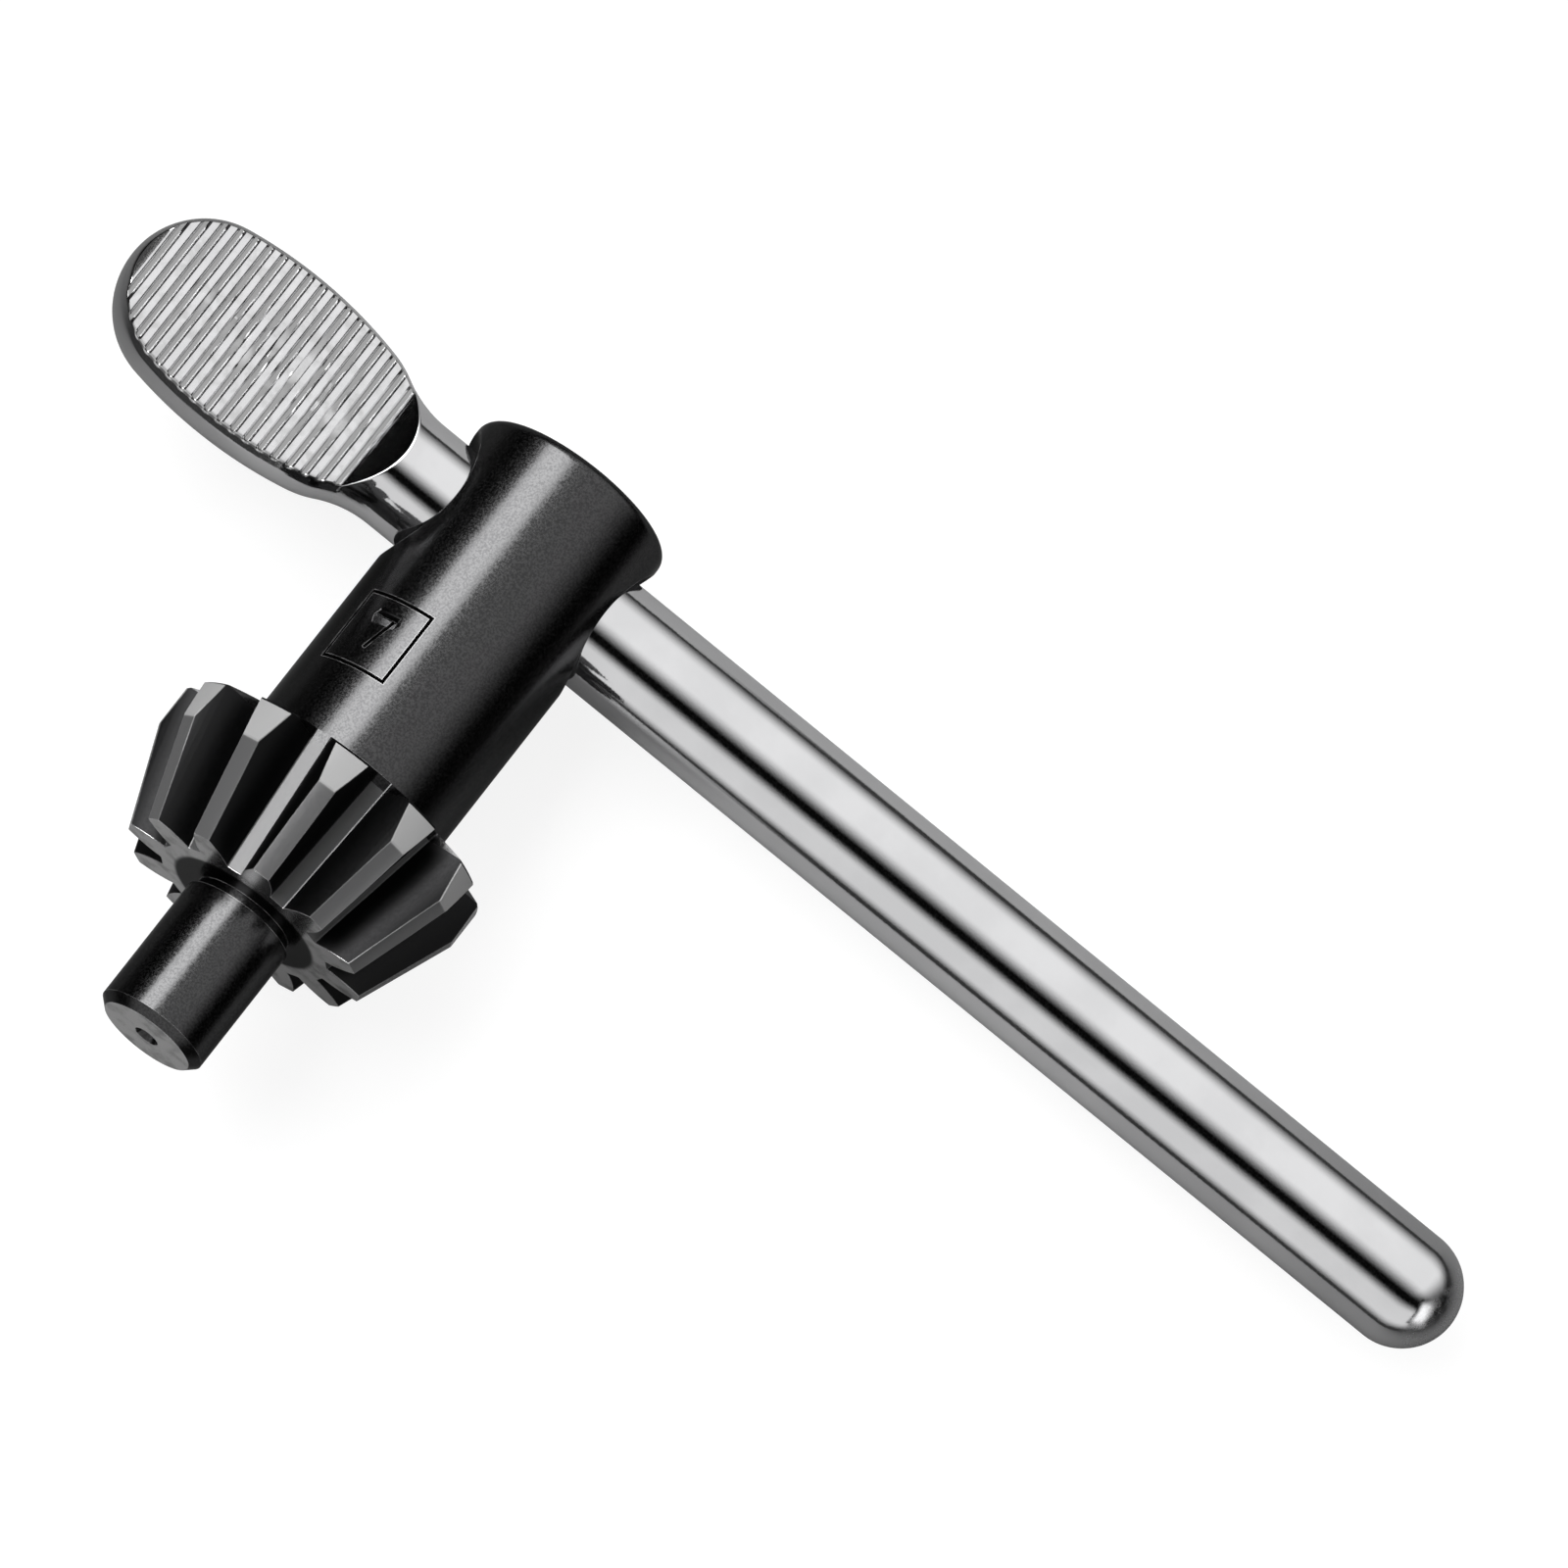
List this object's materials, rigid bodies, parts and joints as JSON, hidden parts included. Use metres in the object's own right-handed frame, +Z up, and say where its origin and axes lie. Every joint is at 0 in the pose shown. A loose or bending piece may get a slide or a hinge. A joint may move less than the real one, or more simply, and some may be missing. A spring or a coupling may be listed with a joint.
{
  "type": "drill chuck key",
  "caption": "Key for a geared drill chuck: a dark steel body with a pilot pin, bevel pinion and barrel, and a bright round bar pressed through it with a ribbed thumb plate.",
  "frame": {"origin": "centre of the bottom of the key's bounding box, on the surface that the key lies on", "axes": "+X towards the long arm of the handle, +Y from the pilot towards the barrel's flat end, +Z up from the table"},
  "size_m": [0.112, 0.0486, 0.0242],
  "materials": {
    "black_oxide_steel": "satin black oxide",
    "bright_plated_steel": "polished plating"
  },
  "bodies": {
    "root": {"key_body": "black_oxide_steel", "handle": "bright_plated_steel"}
  },
  "joints": []
}
